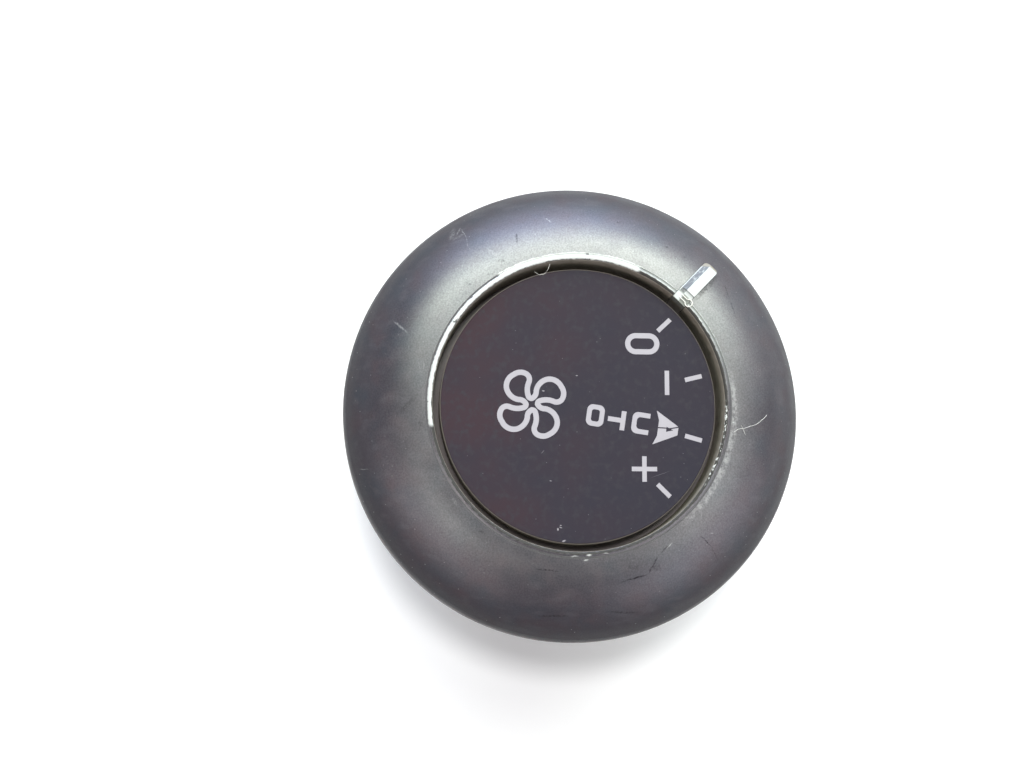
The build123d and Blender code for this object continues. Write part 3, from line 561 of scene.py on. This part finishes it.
# Dial: a matt dark cap, faintly clouded, with a few pale specks and hair scratches
dialPaint = {
    "paint": "#2a2833",
    "paintWarm": "#36272f",
    "paintPale": "#343138",
    "scuffed": "#a7a2a8",
    # painted highlight round the dial's edge
    "edgeHighlight": "#716b66",
    "radius": 17.7 * mm,
    "roughness": 0.6,
    "specular": 0.3,
    "grain": (0.18 * mm, 0.010 * mm, 0.5),   # size, depth, strength
    "clouds": (8 * mm, 0.25, 0.62, 5.0),
    "fineClouds": (0.8 * mm, 0.50, 0.80, 4.0),
    "warmth": (1.2, 0.2),            # at the left edge and well to the right
    "warmUntil": 0.6,                # share of the radius
    "edgeRing": (17.58, 18.7, 0.03),
    "raggedEdge": (0.4 * mm, 0.06 * mm),
    "dust": (1.3 * mm, 0.03, 0.05, 0.25),
    "paleMarks": [
        (-3.8, -0.3, -3.8, -0.1, 0.14, 0.7),
        (-1.8, -4.6, -1.8, -4.4, 0.16, 0.7),
        (15.9, -2.7, 15.7, -2.7, 0.22, 0.8),
        (15.5, -2.5, 15.6, -2.2, 0.14, 0.7),
        (15.3, -2.4, 15.3, -2.3, 0.14, 0.7),
        (17.3, -2.1, 17.2, -1.8, 0.24, 0.7),
        (9.7, -3.7, 9.7, -3.5, 0.12, 0.6),
        (6.2, -4.8, 5.8, -4.4, 0.10, 0.25),
        (9.2, 9.2, 8.3, 11.7, 0.08, 0.15),
    ],
}


def makeDialPaint():
    # Matt lacquer on a moulded cap: a dark violet grey with hardly any shine, browner on its left, with a
    # painted highlight round its edge
    paint = dialPaint
    material, tree, shader = newMaterial("matt lacquer on moulded ABS cap")
    at = polarPlace(tree)
    atLeft, atRight = paint["warmth"]
    leftSide = addNode(
        tree, "ShaderNodeMapRange", Value=at["across"], From_Min=-paint["radius"],
        From_Max=paint["warmUntil"] * paint["radius"], To_Min=atLeft, To_Max=atRight,
    ).outputs[0]
    warm = joinMasks(tree, "MULTIPLY", noiseMask(tree, at["place"], *paint["clouds"]), leftSide)
    ragged = shiftedPlace(tree, at["place"], *paint["raggedEdge"])
    colour = addLayers(tree, toLinear(paint["paint"]), [
        (warm, toLinear(paint["paintWarm"])),
        (noiseMask(tree, at["place"], *paint["fineClouds"]), toLinear(paint["paintPale"])),
        (dustMask(tree, at["place"], *paint["dust"]), toLinear(paint["scuffed"])),
        (marksMask(tree, ragged, paint["paleMarks"]), toLinear(paint["scuffed"])),
        (ringMask(tree, at["radius"], *paint["edgeRing"]), toLinear(paint["edgeHighlight"])),
    ])
    tree.links.new(colour, shader.inputs["Base Color"])
    shader.inputs["Roughness"].default_value = paint["roughness"]
    shader.inputs["Specular IOR Level"].default_value = paint["specular"]
    addGrain(tree, shader, at["place"], *paint["grain"])
    return material


# Pointer: a clear moulded light guide with a white flat face, a grey flank and a dull foot.
# Along and across are measured from the knob's axis in the pointer's direction, across anticlockwise.
pointer = {
    "direction": 136.2,
    "face": "#c6cac8",
    "flank": "#6c6f70",
    "flankPale": "#a5aaa8",
    "foot": "#83867f",
    "blob": "#c4c8c6",
    # collar and wall down in the gap, painted paler to lift its shade: painted light
    "collar": "#726b6a",
    "wall": "#8f897c",
    "roughness": 0.22,
    "wear": (0.4 * mm, 0.012 * mm, 0.3, 3.0),
    "glints": (0.3 * mm, 0.50, 0.72, 4.0, (3, 1, 1)),
    "raggedEdge": (0.4 * mm, 0.05 * mm),
    # from, to and how softly they end, in mm
    "barAlong": (19.85, 1000, 0.08),
    "flankAlong": (0, 25.45, 0.08),
    "flankAcross": (0.25, 0.93, 0.05),
    "blobAlong": (18.7, 19.75, 0.08),
    "blobAcross": (0.10, 1.2, 0.05),
    "collarHeight": (0, 6.7, 0.1),
    "wallHeight": (0, 10.6, 0.1),
    "ridgeMiddle": (19.3 * mm, -1.05 * mm),
    "ridgeRadius": 0.48 * mm,
    "ridgeThickness": 0.16 * mm,
    "ridgeHeight": 12.5 * mm,
    "ridgeNeckEnd": 0.35 * mm,
    "ridgeOpening": 28,
    "ridgeSteps": 20,
}


def makePointerPlastic():
    # Clear moulded polycarbonate, worn: a white face, a grey flank with glints, and dull where it goes down
    material, tree, shader = newMaterial("clear moulded polycarbonate light guide")
    place = addNode(tree, "ShaderNodeTexCoord").outputs["Object"]
    local = addNode(
        tree, "ShaderNodeMapping", {"vector_type": "TEXTURE"}, Vector=place,
        Rotation=(0, 0, radians(pointer["direction"])),
    ).outputs[0]
    ragged = shiftedPlace(tree, local, *pointer["raggedEdge"])
    axes = addNode(tree, "ShaderNodeSeparateXYZ", Vector=ragged)
    along, across, height = axes.outputs["X"], axes.outputs["Y"], axes.outputs["Z"]
    bar = ringMask(tree, along, *pointer["barAlong"])
    flank = joinMasks(
        tree, "MULTIPLY", bar,
        ringMask(tree, across, *pointer["flankAcross"]), ringMask(tree, along, *pointer["flankAlong"]),
    )
    foot = joinMasks(tree, "SUBTRACT", 1.0, bar)
    blob = joinMasks(
        tree, "MULTIPLY",
        ringMask(tree, across, *pointer["blobAcross"]), ringMask(tree, along, *pointer["blobAlong"]),
    )
    glints = noiseMask(tree, local, *pointer["glints"])
    flankColour = addLayers(tree, toLinear(pointer["flank"]), [(glints, toLinear(pointer["flankPale"]))])
    colour = addLayers(tree, toLinear(pointer["face"]), [
        (flank, flankColour),
        (foot, toLinear(pointer["foot"])),
        (blob, toLinear(pointer["blob"])),
        (ringMask(tree, height, *pointer["wallHeight"]), toLinear(pointer["wall"])),
        (ringMask(tree, height, *pointer["collarHeight"]), toLinear(pointer["collar"])),
    ])
    tree.links.new(colour, shader.inputs["Base Color"])
    shader.inputs["Roughness"].default_value = pointer["roughness"]
    addGrain(tree, shader, place, *pointer["wear"])
    return material


# Finishes that follow one recipe: a name, two close colours that drift into each other, the grain's size
# and depth in mm, a roughness, and 1 for metal
finishes = {
    # flat pale grey figures, a touch shinier than the dial
    "print": ("pad printed satin ink", "#aca8ae", "#a09ba3", 0.20, 0.004, 0.45, 0.0),
    # even milky white with a soft gloss
    "diffuser_plastic": ("milky moulded polycarbonate", "#e9e9e4", "#dfdfd8", 0.60, 0.004, 0.35, 0.0),
    # plain warm white, half matt
    "white_plastic": ("white moulded ABS", "#e4e3dc", "#d9d8cf", 0.40, 0.006, 0.45, 0.0),
    # waxy ivory
    "acetal": ("natural moulded acetal", "#e8e6dd", "#dedbd0", 0.50, 0.004, 0.35, 0.0),
    # dead white with a soapy look
    "ptfe": ("skived PTFE sheet", "#eeeeea", "#e4e4de", 0.30, 0.003, 0.50, 0.0),
    # near black with a fine pebbled grain that breaks up its shine
    "body_plastic": ("spark textured black ABS", "#1f1f21", "#262628", 0.22, 0.020, 0.52, 0.0),
    # smooth dull black
    "header_plastic": ("black moulded nylon", "#1b1b1d", "#222224", 0.30, 0.008, 0.45, 0.0),
    # deep green with a lacquer's gloss
    "board": ("green solder resist on glass laminate", "#1f4a34", "#245640", 0.80, 0.006, 0.35, 0.0),
    # clean yellow metal
    "copper": ("gilded copper track", "#c79a4c", "#b98a40", 0.20, 0.003, 0.30, 1.0),
    # brownish orange metal, lightly rolled
    "bronze": ("rolled phosphor bronze", "#b98550", "#a97645", 0.15, 0.003, 0.32, 1.0),
    # warm grey metal
    "pin_metal": ("tinned brass pin", "#b9b6ac", "#a5a297", 0.15, 0.003, 0.30, 1.0),
    # darker bluish grey metal
    "spring_steel": ("blued rolled spring steel", "#8d8f92", "#7c7e82", 0.25, 0.004, 0.34, 1.0),
    # bright, slightly mottled metal
    "screw_steel": ("zinc plated steel screw", "#b4b7ba", "#a3a69f", 0.25, 0.005, 0.30, 1.0),
    # glossy pale yellow
    "lamp_resin": ("clear cast epoxy lamp", "#e8e2c4", "#ddd6b4", 0.30, 0.003, 0.20, 0.0),
    # flat black
    "chip_resin": ("black moulded epoxy", "#1c1c1e", "#242426", 0.15, 0.008, 0.60, 0.0),
}
finishCommon = {"driftSize": 3 * mm, "roughnessSpread": 0.15, "grainStrength": 0.5}


def makeFinish(name, colour, colourDrift, grainSize, grainDepth, roughness, metallic):
    material, tree, shader = newMaterial(name)
    place = addNode(tree, "ShaderNodeTexCoord").outputs["Object"]
    drift = addNode(tree, "ShaderNodeTexNoise", Vector=place, Scale=1 / finishCommon["driftSize"], Detail=4.0)
    mixed = addLayers(tree, toLinear(colour), [(drift.outputs["Fac"], toLinear(colourDrift))])
    tree.links.new(mixed, shader.inputs["Base Color"])
    spread = finishCommon["roughnessSpread"]
    rough = addNode(
        tree, "ShaderNodeMapRange", Value=drift.outputs["Fac"],
        To_Min=roughness * (1 - spread), To_Max=roughness * (1 + spread),
    )
    tree.links.new(rough.outputs[0], shader.inputs["Roughness"])
    addGrain(tree, shader, place, grainSize * mm, grainDepth * mm, finishCommon["grainStrength"])
    shader.inputs["Metallic"].default_value = metallic
    return material


materials = {slot: makeFinish(*recipe) for slot, recipe in finishes.items()}
materials["knob_paint"] = makeKnobPaint()
materials["dial_paint"] = makeDialPaint()
materials["clear_plastic"] = makePointerPlastic()
for part in frame["record"]["subparts"]:
    mesh = frame["nodes"][part["node"]].data
    mesh.materials.clear()
    mesh.materials.append(materials[part["material_slot"]])
print("materials made:", len(materials))


# Threads: the ridge and the hairs
threadShape = {"sides": 8, "wanderSize": 0.8 * mm}


def sweepAlong(name, points, thickness, material, wander=0.0):
    # a round thread along the points, made by Geometry Nodes and kept as a plain mesh
    tree = bpy.data.node_groups.new(name, "GeometryNodeTree")
    tree.interface.new_socket("Geometry", in_out="INPUT", socket_type="NodeSocketGeometry")
    sizes = {"Thickness": thickness, "Wander": wander}
    sockets = {
        key: tree.interface.new_socket(key, in_out="INPUT", socket_type="NodeSocketFloat") for key in sizes
    }
    tree.interface.new_socket("Geometry", in_out="OUTPUT", socket_type="NodeSocketGeometry")
    given = addNode(tree, "NodeGroupInput")
    curve = addNode(tree, "GeometryNodeMeshToCurve", Mesh=given.outputs["Geometry"])
    noise = addNode(tree, "ShaderNodeTexNoise", Scale=1 / threadShape["wanderSize"], Detail=2.0)
    middle = addNode(
        tree, "ShaderNodeVectorMath", {"operation": "SUBTRACT"}, in0=noise.outputs["Color"], in1=(0.5,) * 3,
    )
    shift = addNode(
        tree, "ShaderNodeVectorMath", {"operation": "SCALE"},
        in0=middle.outputs[0], Scale=given.outputs["Wander"],
    )
    moved = addNode(tree, "GeometryNodeSetPosition", Geometry=curve.outputs[0], Offset=shift.outputs[0])
    radius = addNode(
        tree, "ShaderNodeMath", {"operation": "MULTIPLY"}, in0=given.outputs["Thickness"], in1=0.5,
    )
    ring = addNode(
        tree, "GeometryNodeCurvePrimitiveCircle", Resolution=threadShape["sides"], Radius=radius.outputs[0],
    )
    tube = addNode(
        tree, "GeometryNodeCurveToMesh",
        Curve=moved.outputs[0], Profile_Curve=ring.outputs["Curve"], Fill_Caps=True,
    )
    smooth = addNode(tree, "GeometryNodeSetShadeSmooth", Geometry=tube.outputs[0])
    realized = addNode(tree, "GeometryNodeRealizeInstances", Geometry=smooth.outputs[0])
    painted = addNode(tree, "GeometryNodeSetMaterial", Geometry=realized.outputs[0], Material=material)
    addNode(tree, "NodeGroupOutput", Geometry=painted.outputs[0])

    line = bpy.data.meshes.new(name + "Line")
    line.from_pydata(points, [(place, place + 1) for place in range(len(points) - 1)], [])
    carrier = bpy.data.objects.new(name + "Line", line)
    bpy.context.scene.collection.objects.link(carrier)
    modifier = carrier.modifiers.new("sweep", "NODES")
    modifier.node_group = tree
    for key, value in sizes.items():
        modifier[sockets[key].identifier] = value
    graph = bpy.context.evaluated_depsgraph_get()
    mesh = bpy.data.meshes.new_from_object(carrier.evaluated_get(graph), depsgraph=graph)
    bpy.data.objects.remove(carrier)
    bpy.data.node_groups.remove(tree)
    piece = bpy.data.objects.new(name, mesh)
    bpy.context.scene.collection.objects.link(piece)
    return piece


def onPointer(along, across, height):
    # a point given in the pointer's own directions
    turn = radians(pointer["direction"])
    return (along * cos(turn) - across * sin(turn), along * sin(turn) + across * cos(turn), height)


def makeKeyholeRidge():
    # the moulded keyhole loop on the pointer's foot: an open neck and a round end, in white that stands in
    # for the highlight along its edge: partly painted highlight
    middleAlong, middleAcross = pointer["ridgeMiddle"]
    reach = pointer["ridgeRadius"]
    height = pointer["ridgeHeight"]
    steps = pointer["ridgeSteps"]
    opening = radians(pointer["ridgeOpening"])
    points = [onPointer(middleAlong + reach * sin(opening), pointer["ridgeNeckEnd"], height)]
    for step in range(steps + 1):
        angle = opening + (2 * pi - 2 * opening) * step / steps
        points.append(onPointer(middleAlong + reach * sin(angle), middleAcross + reach * cos(angle), height))
    points.append(onPointer(middleAlong - reach * sin(opening), pointer["ridgeNeckEnd"], height))
    ridge = sweepAlong("keyholeRidge", points, pointer["ridgeThickness"], materials["white_plastic"])
    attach(ridge, "knob")


# Hairs that lie on the knob: places on the resting knob in mm, a thickness and how far they stray
fibres = {
    "longFibre": (
        [
            (0.9, 24.5, 10.58), (2.0, 23.4, 11.17), (2.5, 22.3, 11.60),
            (2.9, 21.0, 12.0), (3.0, 20.3, 12.17), (3.5, 19.6, 12.3),
        ],
        0.05, 0.25,
    ),
    "sideFibre": ([(2.5, 20.8, 12.03), (3.2, 21.1, 11.95), (3.9, 21.4, 11.82)], 0.04, 0.15),
    "lipFibre": (
        [
            (-17.1, -5.7, 11.6), (-16.8, -5.0, 11.15), (-17.0, -4.3, 11.3),
            (-17.5, -3.95, 12.0), (-18.2, -3.7, 12.4),
        ],
        0.05, 0.25,
    ),
}


def makeFibre(name, places, thickness, wander):
    # a fine hair, bent through its places
    points = []
    for start, end in zip(places, places[1:]):
        points += [[(a + (b - a) * share) * mm for a, b in zip(start, end)] for share in (0, 0.25, 0.5, 0.75)]
    fibre = sweepAlong(name, points, thickness * mm, materials["diffuser_plastic"], wander * mm)
    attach(fibre, "knob")


makeKeyholeRidge()
for name, setup in fibres.items():
    makeFibre(name, *setup)
print("small pieces made")
